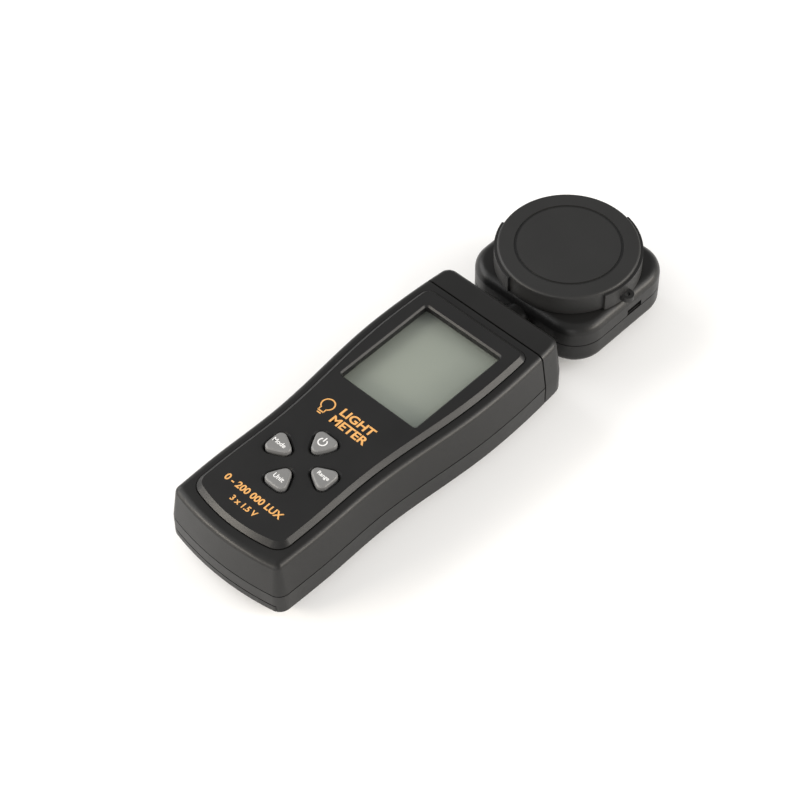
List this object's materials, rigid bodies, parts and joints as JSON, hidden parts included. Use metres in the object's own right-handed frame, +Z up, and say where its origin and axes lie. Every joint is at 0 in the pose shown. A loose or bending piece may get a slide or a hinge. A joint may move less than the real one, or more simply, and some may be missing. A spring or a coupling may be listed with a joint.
{
  "type": "handheld light meter",
  "caption": "Slim waisted handheld light meter with a display, rubber keys, a swivelling square sensor head under a round push-on cap, and a battery bay in the back.",
  "frame": {"origin": "on the surface the meter lies on, under the middle of its length and width", "axes": "+Y along the meter towards the sensor head, +Z up out of the display, +X to the right of a reader"},
  "size_m": [0.048, 0.16, 0.025],
  "materials": {
    "shell_plastic": "fine matte black moulded plastic",
    "face_plastic": "smooth matte black plastic with printed marks",
    "cap_plastic": "soft matte charcoal plastic",
    "inner_plastic": "plain black plastic",
    "washer_plastic": "natural acetal",
    "inner_rubber": "black rubber",
    "key_rubber": "mid grey silicone rubber",
    "carbon": "conductive carbon rubber",
    "clear_lens": "clear polished acrylic",
    "display_glass": "grey-green reflective display, switched off",
    "foil": "reflecting foil",
    "board": "green solder mask",
    "chip": "black epoxy",
    "tin": "tinned can",
    "connector": "natural nylon",
    "screw_steel": "zinc plated steel",
    "cell_sleeve": "plain green cell sleeve",
    "nickel": "nickel plated steel",
    "red_lead": "red insulation",
    "black_lead": "black insulation",
    "grey_lead": "dark grey insulation",
    "filter_glass": "blue-green filter glass",
    "diffuser": "opal white diffuser"
  },
  "bodies": {
    "casing": {"aaa_cells": "cell_sleeve", "amplifier_chips": "chip", "battery_lead_minus": "black_lead", "battery_lead_plus": "red_lead", "body_lead": "grey_lead", "capacitor_cans": "tin", "case_screws": "screw_steel", "contact_plates": "nickel", "contact_springs": "nickel", "crystal_can": "tin", "end_collar": "shell_plastic", "face_plate": "face_plastic", "front_shell": "shell_plastic", "keypad_mat": "key_rubber", "lcd_glass": "display_glass", "lcd_holder": "inner_plastic", "lcd_lens": "clear_lens", "lcd_reflector": "foil", "lead_plug": "connector", "main_chip": "chip", "main_pcb": "board", "pcb_screws": "screw_steel", "rear_shell": "shell_plastic", "sensor_socket": "connector", "stop_pin": "screw_steel", "thrust_washer": "washer_plastic", "zebra_strips": "inner_rubber"},
    "head": {"swivel_shaft": "inner_plastic", "friction_ring": "inner_rubber", "retaining_clip": "screw_steel", "head_lead": "grey_lead", "head_upper_shell": "shell_plastic", "head_lower_shell": "shell_plastic", "head_screws": "screw_steel", "head_socket": "connector", "sensor_pcb": "board", "sensor_screws": "screw_steel", "photodiode": "chip", "sensor_cup": "inner_plastic", "optical_filter": "filter_glass", "diffuser_dome": "diffuser", "diffuser_retainer": "inner_plastic"},
    "cap": {"sensor_cap": "cap_plastic"},
    "door": {"battery_door": "shell_plastic"},
    "power_button": {"power_key": "key_rubber", "power_key_pill": "carbon"},
    "range_button": {"range_key": "key_rubber", "range_key_pill": "carbon"},
    "unit_button": {"unit_key": "key_rubber", "unit_key_pill": "carbon"},
    "mode_button": {"mode_key": "key_rubber", "mode_key_pill": "carbon"}
  },
  "joints": [
    {"name": "head_swivel", "type": "hinge", "parent": "casing", "child": "head", "pos_m": [0, 0.0355, 0.0109], "axis": [0, 1, 0], "range_deg": [-90, 180]},
    {"name": "cap_lift", "type": "slide", "parent": "head", "child": "cap", "axis": [0, 0, 1], "range_m": [0, 0.012]},
    {"name": "door_slide", "type": "slide", "parent": "casing", "child": "door", "axis": [0, -1, 0], "range_m": [0, 0.055]},
    {"name": "power_press", "type": "slide", "parent": "casing", "child": "power_button", "axis": [0, 0, -1], "range_m": [0, 0.0008], "stiffness_N_per_m": 1500},
    {"name": "range_press", "type": "slide", "parent": "casing", "child": "range_button", "axis": [0, 0, -1], "range_m": [0, 0.0008], "stiffness_N_per_m": 1500},
    {"name": "unit_press", "type": "slide", "parent": "casing", "child": "unit_button", "axis": [0, 0, -1], "range_m": [0, 0.0008], "stiffness_N_per_m": 1500},
    {"name": "mode_press", "type": "slide", "parent": "casing", "child": "mode_button", "axis": [0, 0, -1], "range_m": [0, 0.0008], "stiffness_N_per_m": 1500}
  ]
}
